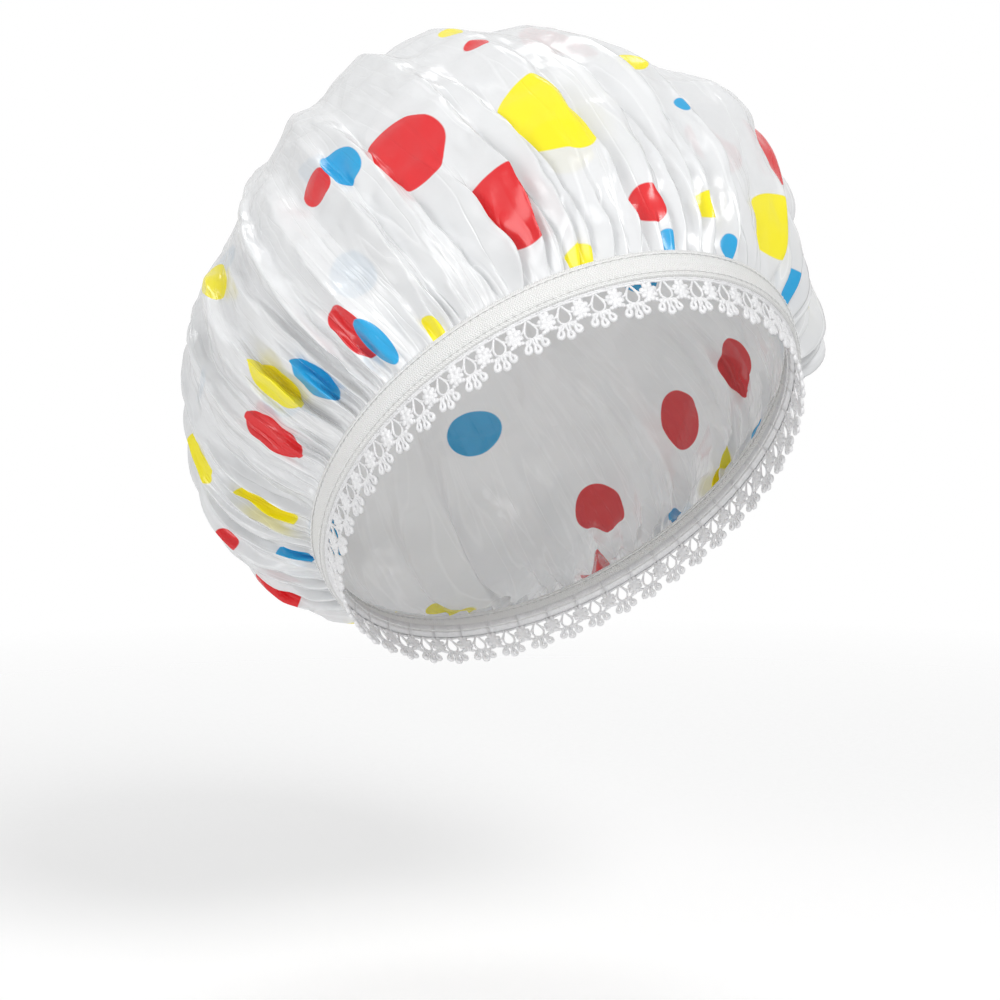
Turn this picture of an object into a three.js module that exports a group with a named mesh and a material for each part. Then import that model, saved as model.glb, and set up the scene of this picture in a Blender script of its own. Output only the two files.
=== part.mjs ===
// A shower cap in its worn pose, in millimetres: a crown of film gathered into an elastic band, with lace.
// The origin is the middle of the head opening, +Z is up as worn and the forehead faces -Y.
import * as THREE from "three";

// Head opening, measured on the lace, and how the band lies on the head
const openingWidth = 154;
const openingLength = 192;
const wornTiltDegrees = 42;
const bandFlareDegrees = 8;

// Layers of the band, from the head outwards, and the gap between any two
const layerGap = 0.3;
const laceThickness = 0.5;
const tapeThickness = 0.5;
const elasticThickness = 0.8;
const filmThickness = 0.6;
const threadThickness = 0.35;

// Sizes across the band, with the lace behind the tape's lower edge
const tapeWidth = 9;
const elasticWidth = 5.5;
const hemDepth = 7;
const seamInset = 1.4;
const laceTuck = 4;
const laceDrop = 12.3;

// Crown of film: a neck above the tape, a shoulder that bulges over it, and a pole set back from the middle
const neckRise = 2;
const crownHeight = 142;
const poleSetback = 30;
const poleTiltDegrees = 22;
const shoulderReach = { front: 26, side: 52, back: 84 };
const shoulderRise = { front: 68, side: 38, back: 34 };
const topReach = { front: 112, side: 108, back: 92 };

// Main folds of the crown, which are deeper in some stretches than in others
const foldDepth = 5;
const foldCount = 18;
const foldSwells = 5;
const shallowFoldShare = 0.5;
const foldLeanShare = 0.7;
const columnsPerFold = 4;
const crownRows = 7;

// Lace motifs round the band, each with one fan of three loops under a pear-shaped gap
const motifCount = 50;
const stepsPerMotif = 2;
const pointsPerLoop = 4;
const loopRadius = 1.4;
const halfShare = 1 / 2;

// Each motif, as shares of its pitch across and of the lace drop down
const cornerGapShares = [
  [0.07, 0.04],
  [0.31, 0.02],
  [0.2, 0.25],
];
const pearGapShares = [
  [0, 0.13],
  [0.1, 0.28],
  [0.135, 0.38],
  [0.08, 0.48],
];
const notchShares = [0.4, 0.66];
const outerLoopShares = [0.25, 0.8];
const middleLoopShares = [0, 0.88];
const outerLoopDegrees = { from: 205, to: 390 };
const middleLoopDegrees = { from: 165, to: 375 };

const turn = 2 * Math.PI;
const quarterTurn = turn / 4;
const ringSteps = stepsPerMotif * motifCount;
const samplesPerStep = 8;
const flareSlope = Math.tan(THREE.MathUtils.degToRad(bandFlareDegrees));

// How far each layer's inner face lies from the opening, where the lace starts
const innerLeafIn = laceThickness + layerGap;
const elasticIn = innerLeafIn + tapeThickness + layerGap;
const filmIn = elasticIn + elasticThickness + layerGap;
const outerLeafIn = filmIn + filmThickness + layerGap;
const bandOut = outerLeafIn + tapeThickness;

// Materials: milky film, white woven tape and lace, and thread
const filmLook = { color: 0xf1f3f4, roughness: 0.3, metalness: 0 };
const tapeLook = { color: 0xf6f6f4, roughness: 0.7, metalness: 0 };
const elasticLook = { color: 0xe9e7e0, roughness: 0.8, metalness: 0 };
const laceLook = { color: 0xfafafa, roughness: 0.55, metalness: 0 };
const threadLook = { color: 0xffffff, roughness: 0.5, metalness: 0 };

const opening = new THREE.EllipseCurve(
  0,
  0,
  openingWidth / 2,
  openingLength / 2,
  -quarterTurn,
  turn - quarterTurn,
);
opening.arcLengthDivisions = samplesPerStep * ringSteps;

// Shares of the way round the band start at the forehead and run towards the wearer's left.
function wrapShare(share) {
  return THREE.MathUtils.euclideanModulo(share, 1);
}

function outwardAt(share) {
  const along = opening.getTangentAt(wrapShare(share));
  return new THREE.Vector3(along.y, -along.x, 0);
}

// A point of the band: out from the opening, and up across the band's width.
function bandPoint(share, out, up) {
  const foot = opening.getPointAt(wrapShare(share));
  return new THREE.Vector3(foot.x, foot.y, up).addScaledVector(
    outwardAt(share),
    out + up * flareSlope,
  );
}

function geometryOf(points, triangles) {
  const geometry = new THREE.BufferGeometry().setFromPoints(points);
  geometry.setIndex(triangles);
  geometry.computeVertexNormals();
  return geometry;
}

// Sweeps a closed section, listed anticlockwise as out and up, once round the band.
function sweepBand(section) {
  const points = [];
  const triangles = [];
  const sides = section.length;
  for (let step = 0; step < ringSteps; step++) {
    const here = step * sides;
    const next = ((step + 1) % ringSteps) * sides;
    section.forEach(([out, up], side) => {
      const far = (side + 1) % sides;
      points.push(bandPoint(step / ringSteps, out, up));
      triangles.push(here + side, next + side, next + far);
      triangles.push(here + side, next + far, here + far);
    });
  }
  return geometryOf(points, triangles);
}

// Casing tape: folded under the band's lower edge, so that it has an inner and an outer leaf.
function casingTape() {
  const top = tapeWidth / 2;
  const bottom = -top;
  const bend = tapeThickness / 2;
  return sweepBand([
    [innerLeafIn, bottom + bend],
    [innerLeafIn + bend, bottom],
    [bandOut - bend, bottom],
    [bandOut, bottom + bend],
    [bandOut, top],
    [outerLeafIn, top],
    [outerLeafIn, bottom + tapeThickness],
    [innerLeafIn + tapeThickness, bottom + tapeThickness],
    [innerLeafIn + tapeThickness, top],
    [innerLeafIn, top],
  ]);
}

// Elastic: a flat strip inside the folded tape.
function elasticBand() {
  const edge = elasticWidth / 2;
  return sweepBand([
    [elasticIn, -edge],
    [elasticIn + elasticThickness, -edge],
    [elasticIn + elasticThickness, edge],
    [elasticIn, edge],
  ]);
}

// One thread of a seam, which runs round the band.
function seamThread(out, up) {
  const edge = threadThickness / 2;
  return sweepBand([
    [out - edge, up],
    [out, up - edge],
    [out + edge, up],
    [out, up + edge],
  ]);
}

// The crown's middle surface: its hem inside the tape, its neck, and the curves that meet at the pole.
function crownSurface(columns) {
  const middle = filmIn + filmThickness / 2;
  const hemUp = tapeWidth / 2 - hemDepth;
  const neckUp = tapeWidth / 2 + neckRise;
  const pole = new THREE.Vector3(0, poleSetback, crownHeight);
  const heart = new THREE.Vector3(0, poleSetback, crownHeight / 2);
  const tilt = THREE.MathUtils.degToRad(poleTiltDegrees);
  const rows = Array.from({ length: crownRows + 1 }, () => []);
  for (let column = 0; column < columns; column++) {
    const share = column / columns;
    const outward = outwardAt(share);
    const end = outward.y < 0 ? "front" : "back";
    const blend = (sizes) =>
      sizes.side * outward.x ** 2 + sizes[end] * outward.y ** 2;
    const neck = bandPoint(share, middle, neckUp);
    const shoulder = neck.clone().addScaledVector(outward, blend(shoulderReach));
    shoulder.z += blend(shoulderRise);
    const away = new THREE.Vector3(
      outward.x,
      outward.y * Math.cos(tilt),
      -outward.y * Math.sin(tilt),
    );
    const top = pole.clone().addScaledVector(away, blend(topReach));
    const meridian = new THREE.CubicBezierCurve3(neck, shoulder, top, pole);
    const wave = Math.cos((turn * column) / columnsPerFold);
    const swell = Math.sin(turn * foldSwells * share) ** 2;
    const depth = foldDepth * THREE.MathUtils.lerp(1, shallowFoldShare, swell);
    rows[0].push(bandPoint(share, middle, hemUp));
    rows[1].push(neck);
    for (let row = 2; row <= crownRows; row++) {
      const way = (row - 1) / crownRows;
      const point = meridian.getPointAt(way);
      const lift = point.clone().sub(heart).normalize();
      const rise = depth * wave * Math.sin((turn / 2) * way ** foldLeanShare);
      rows[row].push(point.addScaledVector(lift, rise));
    }
  }
  return [...rows.flat(), pole];
}

// Crown of film: both faces of its middle surface, joined round the hem.
function crownFilm() {
  const columns = foldCount * columnsPerFold;
  const sheet = crownSurface(columns);
  const count = sheet.length;
  const lastRow = crownRows * columns;
  const faces = [];
  const rim = [];
  for (let column = 0; column < columns; column++) {
    const next = (column + 1) % columns;
    for (let row = 0; row < lastRow; row += columns) {
      const above = row + columns;
      faces.push([row + column, row + next, above + next]);
      faces.push([row + column, above + next, above + column]);
    }
    faces.push([lastRow + column, lastRow + next, count - 1]);
    rim.push(column, column + count, next + count);
    rim.push(column, next + count, next);
  }
  const normals = geometryOf(sheet, faces.flat()).getAttribute("normal");
  const face = (distance) =>
    sheet.map((point, index) => {
      const normal = new THREE.Vector3().fromBufferAttribute(normals, index);
      return point.clone().addScaledVector(normal, distance);
    });
  const inside = faces.map(([a, b, c]) => [a + count, c + count, b + count]);
  return geometryOf(
    [...face(filmThickness / 2), ...face(-filmThickness / 2)],
    [...faces.flat(), ...inside.flat(), ...rim],
  );
}

// Points of one hanging loop's rim, from its left round its bottom to its right.
function loopRim(centre, degrees) {
  return Array.from({ length: pointsPerLoop }, (_, index) => {
    const share = index / (pointsPerLoop - 1);
    const bearing = THREE.MathUtils.lerp(degrees.from, degrees.to, share);
    const angle = THREE.MathUtils.degToRad(bearing);
    const spoke = new THREE.Vector2(Math.cos(angle), Math.sin(angle));
    return centre.clone().addScaledVector(spoke, loopRadius);
  });
}

// One motif in the flat, with its outline's bottom running left to right and its top back again.
function laceMotif(pitch) {
  const place = ([across, down]) =>
    new THREE.Vector2(across * pitch, -down * laceDrop);
  const flip = (points) =>
    points.map((point) => new THREE.Vector2(-point.x, point.y)).reverse();
  const outerLoop = loopRim(place(outerLoopShares), outerLoopDegrees);
  const notch = place(notchShares);
  const halfBottom = [...outerLoop, notch];
  const bottom = [
    new THREE.Vector2(-pitch / 2, notch.y),
    ...flip(halfBottom),
    ...loopRim(place(middleLoopShares), middleLoopDegrees),
    ...halfBottom,
    new THREE.Vector2(pitch / 2, notch.y),
  ];
  const top = [halfShare, 0, -halfShare].map(
    (share) => new THREE.Vector2(share * pitch, laceTuck),
  );
  const cornerGap = cornerGapShares.map(place);
  const pearSide = pearGapShares.map(place);
  const pearGap = [...pearSide, ...flip(pearSide.slice(1))];
  return { bottom, top, gaps: [cornerGap, flip(cornerGap), pearGap] };
}

// Lace: the motif repeated side by side, given its thickness and bent round the band.
function laceTrim() {
  const pitch = opening.getLength() / motifCount;
  const { bottom, top, gaps } = laceMotif(pitch);
  const outline = [...bottom, ...top];
  const holes = gaps.map((gap) =>
    THREE.ShapeUtils.isClockWise(gap) ? gap : [...gap].reverse(),
  );
  const flat = [...outline, ...holes.flat()];
  const faces = THREE.ShapeUtils.triangulateShape(outline, holes);
  const walls = [];
  for (const run of [bottom, top, ...holes]) {
    const first = flat.indexOf(run[0]);
    const closed = holes.includes(run);
    const edges = closed ? run.length : run.length - 1;
    for (let edge = 0; edge < edges; edge++)
      walls.push([first + edge, first + ((edge + 1) % run.length)]);
  }
  const points = [];
  const triangles = [];
  for (let motif = 0; motif < motifCount; motif++) {
    const back = points.length;
    const front = back + flat.length;
    for (const out of [0, laceThickness])
      for (const { x, y } of flat)
        points.push(
          bandPoint((motif + halfShare + x / pitch) / motifCount, out, y - tapeWidth / 2),
        );
    for (const [a, b, c] of faces) {
      triangles.push(front + a, front + b, front + c);
      triangles.push(back + a, back + c, back + b);
    }
    for (const [a, b] of walls) {
      triangles.push(back + a, back + b, front + b);
      triangles.push(back + a, front + b, front + a);
    }
  }
  return geometryOf(points, triangles);
}

const band = new THREE.Group();
band.rotation.x = -THREE.MathUtils.degToRad(wornTiltDegrees);

function addPiece(name, geometry, look) {
  const piece = new THREE.Mesh(geometry, new THREE.MeshStandardMaterial(look));
  piece.name = name;
  band.add(piece);
}

const seamUp = tapeWidth / 2 - seamInset;
const threadOffset = layerGap + threadThickness / 2;
addPiece("crown_film", crownFilm(), filmLook);
addPiece("casing_tape", casingTape(), tapeLook);
addPiece("elastic_band", elasticBand(), elasticLook);
addPiece("lace_trim", laceTrim(), laceLook);
const outerThread = bandOut + threadOffset;
addPiece("upper_needle_thread", seamThread(outerThread, seamUp), threadLook);
addPiece("lower_needle_thread", seamThread(outerThread, -seamUp), threadLook);
const upperBobbin = innerLeafIn - threadOffset;
addPiece("upper_bobbin_thread", seamThread(upperBobbin, seamUp), threadLook);
addPiece("lower_bobbin_thread", seamThread(-threadOffset, -seamUp), threadLook);

const cap = new THREE.Group();
cap.add(band);

export default cap;
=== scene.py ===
# %% [markdown]
# A shower cap, dressed for the camera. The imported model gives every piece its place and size. This script
# gives each its finish: crumpled milky film with printed dots, woven tape, sewn stitches and looped lace.

# %% Load the frame
import math

import bmesh
import bpy
import numpy as np
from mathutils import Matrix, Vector
from mathutils.bvhtree import BVHTree


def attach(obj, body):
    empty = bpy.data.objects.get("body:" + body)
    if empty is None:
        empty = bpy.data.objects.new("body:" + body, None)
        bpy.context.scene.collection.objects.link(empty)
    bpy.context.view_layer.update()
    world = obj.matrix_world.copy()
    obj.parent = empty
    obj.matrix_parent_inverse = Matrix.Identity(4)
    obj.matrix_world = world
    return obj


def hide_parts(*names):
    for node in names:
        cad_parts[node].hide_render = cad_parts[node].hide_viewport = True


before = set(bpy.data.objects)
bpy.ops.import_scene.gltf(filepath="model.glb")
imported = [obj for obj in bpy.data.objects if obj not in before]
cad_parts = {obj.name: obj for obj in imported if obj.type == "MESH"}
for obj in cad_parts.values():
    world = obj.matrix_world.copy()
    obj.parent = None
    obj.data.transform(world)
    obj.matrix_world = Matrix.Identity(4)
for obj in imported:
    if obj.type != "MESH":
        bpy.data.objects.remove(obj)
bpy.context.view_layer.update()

scene = bpy.context.scene
mm = 0.001


def add_object(name, data):
    made = bpy.data.objects.new(name, data)
    scene.collection.objects.link(made)
    return made


# %% [markdown]
# The camera stands where the photographer stood: a little to the wearer's right and slightly above the
# forehead. The middle of the head opening falls at a known pixel, and a known number of pixels covers a
# millimetre there, so the camera's place and lens follow from those.

# %% Camera
CAMERA_AZIMUTH = -28
CAMERA_ELEVATION = 6
CAMERA_DISTANCE = 950 * mm
NEAR_CLIP = 10 * mm
PHOTO_SIZE = 1000
PHOTO_MIDDLE = Vector((PHOTO_SIZE / 2, PHOTO_SIZE / 2))
OPENING_PIXEL = Vector((556.8, 460.0))
PIXELS_PER_METRE = 3010
SENSOR_WIDTH = 36


def direction(azimuth, elevation):
    """The way to a place that is seen from the cap at these degrees, where azimuth 0 is the front."""
    azimuth, elevation = math.radians(azimuth), math.radians(elevation)
    level = math.cos(elevation)
    return Vector((math.sin(azimuth) * level, -math.cos(azimuth) * level, math.sin(elevation)))


camera_back = direction(CAMERA_AZIMUTH, CAMERA_ELEVATION)
camera_right = direction(CAMERA_AZIMUTH + 90, 0)
camera_up = camera_back.cross(camera_right)
shift_right = (OPENING_PIXEL.x - PHOTO_MIDDLE.x) / PIXELS_PER_METRE
shift_up = (PHOTO_MIDDLE.y - OPENING_PIXEL.y) / PIXELS_PER_METRE

camera_data = bpy.data.cameras.new("camera")
camera_data.sensor_width = SENSOR_WIDTH
camera_data.lens = SENSOR_WIDTH * PIXELS_PER_METRE * CAMERA_DISTANCE / PHOTO_SIZE
camera_data.clip_start = NEAR_CLIP
camera = add_object("camera", camera_data)
camera.location = camera_back * CAMERA_DISTANCE - camera_right * shift_right - camera_up * shift_up
camera.rotation_euler = camera_back.to_track_quat("Z", "Y").to_euler()
scene.camera = camera
print("lens", round(camera_data.lens, 1), "mm")

# %% [markdown]
# The band is an ellipse that tilts from the nape up to the forehead. Every ring of the cap, such as the
# tape, the lace and the seams, is measured from it: a share of the way round, a distance out from the
# opening, and a height across the band's width. One function turns those three into a place, so all the
# rings stay together.

# %% The band's own measure
OPENING_WIDTH = 154 * mm
OPENING_LENGTH = 192 * mm
WORN_TILT = math.radians(42)
BAND_FLARE = math.tan(math.radians(8))
RING_POINTS = 4001
LAYER_GAP = 0.3 * mm
LACE_THICKNESS = 0.5 * mm
TAPE_THICKNESS = 0.5 * mm
ELASTIC_THICKNESS = 0.8 * mm
FILM_ROOM = 0.6 * mm
THREAD_THICKNESS = 0.35 * mm
TAPE_WIDTH = 9 * mm
HEM_DEPTH = 7 * mm
SEAM_INSET = 1.4 * mm
LACE_TUCK = 4 * mm
LACE_DROP = 12.3 * mm
MOTIF_COUNT = 50

INNER_LEAF_IN = LACE_THICKNESS + LAYER_GAP
FILM_IN = INNER_LEAF_IN + TAPE_THICKNESS + LAYER_GAP + ELASTIC_THICKNESS + LAYER_GAP
OUTER_LEAF_IN = FILM_IN + FILM_ROOM + LAYER_GAP
BAND_OUT = OUTER_LEAF_IN + TAPE_THICKNESS
TAPE_TOP = TAPE_WIDTH / 2

turn = np.linspace(-np.pi / 2, 1.5 * np.pi, RING_POINTS)
ring_x = OPENING_WIDTH / 2 * np.cos(turn)
ring_y = OPENING_LENGTH / 2 * np.sin(turn)
steps = np.hypot(np.diff(ring_x), np.diff(ring_y))
ring_share = np.concatenate([[0], np.cumsum(steps)]) / steps.sum()
ring_length = steps.sum()
normal_x = ring_x / (OPENING_WIDTH / 2) ** 2
normal_y = ring_y / (OPENING_LENGTH / 2) ** 2
normal_size = np.hypot(normal_x, normal_y)
print("opening", round(ring_length / mm), "mm round")


def ring_at(share, first, second):
    """Two measures of the ring at shares of the way round."""
    return np.stack([np.interp(share, ring_share, first), np.interp(share, ring_share, second)], -1)


def outward_at(share):
    outward = ring_at(np.mod(share, 1), normal_x / normal_size, normal_y / normal_size)
    return outward / np.linalg.norm(outward, axis=-1, keepdims=True)


def untilted_point(share, out, up):
    share, out, up = np.broadcast_arrays(np.mod(share, 1), out, up)
    reach = (out + up * BAND_FLARE)[..., None]
    foot = ring_at(share, ring_x, ring_y)
    return np.concatenate([foot + outward_at(share) * reach, up[..., None]], -1)


def tilt_back(points):
    x, y, z = np.moveaxis(points, -1, 0)
    cosine, sine = math.cos(WORN_TILT), math.sin(WORN_TILT)
    return np.stack([x, y * cosine + z * sine, z * cosine - y * sine], -1)


def band_point(share, out, up):
    return tilt_back(untilted_point(share, out, up))


# %% [markdown]
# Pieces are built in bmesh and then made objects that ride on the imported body. A ring is swept by extruding
# a circle of edges once for each corner of its section, and setting each new loop to its place on the band.

# %% Making and sweeping
def make_piece(name, mesh, material, replaced):
    piece = add_object(name, mesh)
    mesh.materials.clear()
    mesh.materials.append(material)
    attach(piece, "root")
    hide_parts(*replaced)
    print(name, len(mesh.polygons), "faces")
    return piece


def mesh_from(name, bm):
    mesh = bpy.data.meshes.new(name)
    bmesh.ops.recalc_face_normals(bm, faces=bm.faces)
    bm.to_mesh(mesh)
    bm.free()
    mesh.shade_smooth()
    return mesh


def applied(made):
    """Takes an object away and keeps its mesh, with its modifiers and its bevel."""
    graph = bpy.context.evaluated_depsgraph_get()
    mesh = bpy.data.meshes.new_from_object(made.evaluated_get(graph))
    bpy.data.objects.remove(made)
    return mesh


def place_verts(verts, share, out, up):
    for vert, point in zip(verts, band_point(share, out, up)):
        vert.co = point


def sweep_band(section, count):
    """Sweeps a closed section, a list of out and up, round the band."""
    bm = bmesh.new()
    share = np.arange(count) / count
    first = bmesh.ops.create_circle(bm, segments=count, radius=1)["verts"]
    edges = sorted({edge for vert in first for edge in vert.link_edges}, key=lambda edge: edge.index)
    place_verts(first, share, *section[0])
    loop, start_edges = first, edges
    for out, up in section[1:]:
        grown = bmesh.ops.extrude_edge_only(bm, edges=edges)["geom"]
        below = {vert: number for number, vert in enumerate(loop)}
        loop = [None] * count
        for vert in (item for item in grown if isinstance(item, bmesh.types.BMVert)):
            partners = (edge.other_vert(vert) for edge in vert.link_edges)
            loop[next(below[partner] for partner in partners if partner in below)] = vert
        edges = [item for item in grown if isinstance(item, bmesh.types.BMEdge)]
        edges = [edge for edge in edges if edge.verts[0] not in below and edge.verts[1] not in below]
        place_verts(loop, share, out, up)
    bmesh.ops.bridge_loops(bm, edges=start_edges + edges)
    return bm


# %% [markdown]
# The crown starts as one flat disc of film. Its hem is gathered into the band, so the film near the band
# has far more width than room and stands in pleats, and towards the middle the pleats grow wider and fade.
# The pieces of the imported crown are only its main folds, so the film is made again: a flat disc is set on
# the crown's curves with its spare width laid in pleats, and cloth simulation then lets it crumple until
# its lengths are true.

# %% The crown's curves
NECK_RISE = 2 * mm
CROWN_HEIGHT = 142 * mm
POLE_SETBACK = 30 * mm
POLE_TILT = math.radians(22)
# at the front, the sides and the back
SHOULDER_REACH = (26 * mm, 52 * mm, 84 * mm)
SHOULDER_RISE = (68 * mm, 38 * mm, 34 * mm)
TOP_REACH = (112 * mm, 108 * mm, 92 * mm)
FILM_MIDDLE = FILM_IN + FILM_ROOM / 2
MERIDIANS = 360
WAYS = 200


def blend_round(sizes, outward):
    front, side, back = sizes
    end = np.where(outward[:, 1] < 0, front, back)
    return (side * outward[:, 0] ** 2 + end * outward[:, 1] ** 2)[:, None]


def crown_curves():
    """The crown's middle surface: points on evenly spaced steps of each curve from the neck to the pole."""
    share = np.arange(MERIDIANS) / MERIDIANS
    outward = outward_at(share)
    neck = untilted_point(share, FILM_MIDDLE, TAPE_TOP + NECK_RISE)
    rise = np.array([[0, 0, 1]])
    flat_out = np.concatenate([outward, np.zeros((MERIDIANS, 1))], 1)
    shoulder = neck + flat_out * blend_round(SHOULDER_REACH, outward)
    shoulder = shoulder + rise * blend_round(SHOULDER_RISE, outward)
    pole = np.array([0, POLE_SETBACK, CROWN_HEIGHT])
    side, ahead = outward.T
    away = np.stack([side, ahead * math.cos(POLE_TILT), -ahead * math.sin(POLE_TILT)], 1)
    top = pole + away * blend_round(TOP_REACH, outward)
    t = np.linspace(0, 1, 4 * WAYS)[None, :, None]
    points = (1 - t) ** 3 * neck[:, None] + 3 * (1 - t) ** 2 * t * shoulder[:, None]
    points = points + 3 * (1 - t) * t ** 2 * top[:, None] + t ** 3 * pole
    run = np.linalg.norm(np.diff(points, axis=1), axis=2)
    along = np.concatenate([np.zeros((MERIDIANS, 1)), np.cumsum(run, 1)], 1)
    even = np.linspace(0, 1, WAYS)
    curves = np.empty((MERIDIANS, WAYS, 3))
    for number in range(MERIDIANS):
        for axis in range(3):
            way = along[number] / along[number, -1]
            curves[number, :, axis] = np.interp(even, way, points[number, :, axis])
    return curves, along[:, -1]


curves, curve_lengths = crown_curves()
round_step = np.roll(curves, -1, 0) - np.roll(curves, 1, 0)
up_step = np.gradient(curves, axis=1)
curve_normals = np.cross(round_step, up_step)
curve_normals[:, -1] = curve_normals[:, -2].mean(0)
curve_normals /= np.linalg.norm(curve_normals, axis=2, keepdims=True)
loop_lengths = np.linalg.norm(np.diff(curves, axis=0, append=curves[:1]), axis=2).sum(0)
print("curves from neck to pole", np.round(curve_lengths[[0, 90, 180]] / mm), "mm")


def between(table, left, right, low, across, along):
    """Bilinear reading of a table: between two columns, and between a row and the next."""
    below = table[left, low] * (1 - across) + table[right, low] * across
    above = table[left, low + 1] * (1 - across) + table[right, low + 1] * across
    return below * (1 - along) + above * along


def look_up(table, share, way):
    """Reads a table of the crown that wraps round the band."""
    column = np.mod(share, 1) * MERIDIANS
    row = np.clip(way, 0, 1) * (WAYS - 1)
    left = np.floor(column).astype(int)
    low = np.minimum(np.floor(row).astype(int), WAYS - 2)
    across, along = (column - left)[:, None], (row - low)[:, None]
    return between(table, left % MERIDIANS, (left + 1) % MERIDIANS, low, across, along)


# %% [markdown]
# The flat disc is a set of rings of edges, bridged one to the next. Its columns run from the hem to the
# middle, as the pleats do, and stand close, because a pleat is sharp across and straight along. Their
# number halves wherever they would crowd.

# %% The flat disc
DISC_RADIUS = 232 * mm
RING_GAP = 4.6 * mm
HEM_COLUMNS = 960
LEAST_WIDTH = 1.15 * mm


def flat_disc():
    bm = bmesh.new()
    rings = round(DISC_RADIUS / RING_GAP)
    columns = HEM_COLUMNS
    outer_edges = None
    for ring in range(rings):
        radius = DISC_RADIUS * (1 - ring / rings)
        if columns % 2 == 0 and 2 * np.pi * radius / columns < LEAST_WIDTH:
            columns //= 2
        last = ring == rings - 1
        circle = bmesh.ops.create_circle(bm, cap_ends=last, cap_tris=last, segments=columns, radius=radius)
        rim = [vert for vert in circle["verts"] if vert.co.length > radius / 2]
        edges = {edge for vert in rim for edge in vert.link_edges if edge.other_vert(vert) in rim}
        edges = {edge for edge in edges if edge.is_wire or edge.is_boundary}
        if outer_edges:
            bmesh.ops.bridge_loops(bm, edges=list(outer_edges | edges))
        outer_edges = edges
    return bm


disc = flat_disc()
flat = np.array([vert.co[:2] for vert in disc.verts])
print("film disc", len(disc.verts), "vertices")

# %% [markdown]
# No two pleats of thin film are alike. Smooth random values, drawn on a grid that wraps round the band,
# make them wander, swell, fade and lean. The draws are seeded, so the cap comes out the same each time.

# %% Random wander
flat_radius = np.hypot(flat[:, 0], flat[:, 1])
flat_share = np.mod((np.arctan2(flat[:, 1], flat[:, 0]) + np.pi / 2) / (2 * np.pi), 1)


def wander(round_cells, up_cells, seed):
    """One random value from -1 to 1 for each vertex, that changes softly over a grid of cells."""
    table = np.random.default_rng(seed).uniform(-1, 1, (round_cells, up_cells + 2))
    column = flat_share * round_cells
    row = flat_radius / DISC_RADIUS * up_cells
    left, low = np.floor(column).astype(int), np.floor(row).astype(int)
    across, along = column - left, row - low
    across, along = across ** 2 * (3 - 2 * across), along ** 2 * (3 - 2 * along)
    return between(table, left % round_cells, (left + 1) % round_cells, low, across, along)


# %% [markdown]
# Each vertex keeps its distance to the hem. The first stretch lies in the tape. From there the film climbs
# its curve, and the pleats stand off it: many fine ones at the band, which join two by two into fewer and
# wider ones above, and none at the middle. Their depth follows from the width that is spare: a zigzag whose
# length is the flat film's. The pleats lean over their neighbours, as pressed pleats do, and their ridges
# run long and straight, swept a little round the crown as they climb. A few soft bulges and dents give the
# crown the uneven outline of a cap that was pulled on by hand.

# %% Laying the film in pleats
IN_TAPE = HEM_DEPTH + NECK_RISE
PLEATS = (
    # count, drift, seed, then from and to as shares of the disc's radius, and the greatest depth
    (144, 0.30, 1, 0.87, 1.13, 3.4 * mm),
    (72, 0.35, 2, 0.73, 1.02, 3.8 * mm),
    (36, 0.35, 3, 0.48, 0.99, 3.1 * mm),
    (18, 0.35, 4, 0.06, 0.90, 2.1 * mm),
)
SWELL_SEEDS = 10
DRIFT_SEEDS = 20
SECOND_DRIFT = 0.3
PLEAT_FLANK = 1.5
SWELL = (0.85, 0.8)
UNEVEN = 0.011
UNEVEN_CELLS = (29, 0, 40)
PLEAT_START = 7 * mm
LEAST_DEPTH = 0.5 * mm
HEM_RIPPLE = 0.15 * mm
LEAN = 1.3
LEAN_SPREAD = (0.6, 0.5)
LEAN_CELLS = (17, 1, 32)
LEAN_FROM = 0.3 * DISC_RADIUS
LUMP = 1.3 * mm
LUMP_CELLS = (11, 3, 31)
LUMP_WAY = 0.15
SWEEP = 0.045
SWEEP_MIDDLE = 0.08
SWEEP_POWER = 1.3
BULGES = (
    # share of the way round, way up, reach round, reach up, height
    (0.93, 0.58, 0.04, 0.10, 2.5 * mm),
    (0.785, 0.50, 0.05, 0.16, -6 * mm),
    (0.655, 0.33, 0.06, 0.14, -3.5 * mm),
    (0.09, 0.32, 0.035, 0.09, 6.5 * mm),
    (0.145, 0.16, 0.024, 0.06, -10 * mm),
    (0.19, 0.08, 0.02, 0.05, 5 * mm),
)

from_hem = DISC_RADIUS - flat_radius
way_up = np.clip((from_hem - IN_TAPE) / (DISC_RADIUS - IN_TAPE), 0, 1)
swept = SWEEP * np.cos(2 * np.pi * (flat_share - SWEEP_MIDDLE)) * way_up ** SWEEP_POWER
worn_share = flat_share - swept


def zigzag(count, drift_share, seed):
    uneven = flat_share + UNEVEN * wander(*UNEVEN_CELLS)
    drift = wander(count // 2, 0, seed) + SECOND_DRIFT * wander(count // 3, 2, DRIFT_SEEDS + seed)
    turns = 2 * np.pi * (count * uneven + drift_share * drift)
    return 2 / np.pi * np.arcsin(np.cos(turns))


def pleat_offset():
    room = np.interp(way_up, np.linspace(0, 1, WAYS), loop_lengths)
    spare = np.maximum(2 * np.pi * flat_radius / np.maximum(room, mm), 1)
    place = flat_radius / DISC_RADIUS
    offset = np.zeros(len(flat))
    for count, drift, seed, start, end, deepest in PLEATS:
        middle = (start + end) / 2
        reach = (end - start) / 2
        weight = np.clip(PLEAT_FLANK * (1 - np.abs(place - middle) / reach), 0, 1)
        depth = room / count / 4 * np.sqrt(spare ** 2 - 1) + LEAST_DEPTH
        swell = SWELL[0] + SWELL[1] * wander(count // 2, 2, SWELL_SEEDS + seed)
        offset += weight * np.minimum(depth * swell, deepest) * zigzag(count, drift, seed)
    return offset


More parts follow.
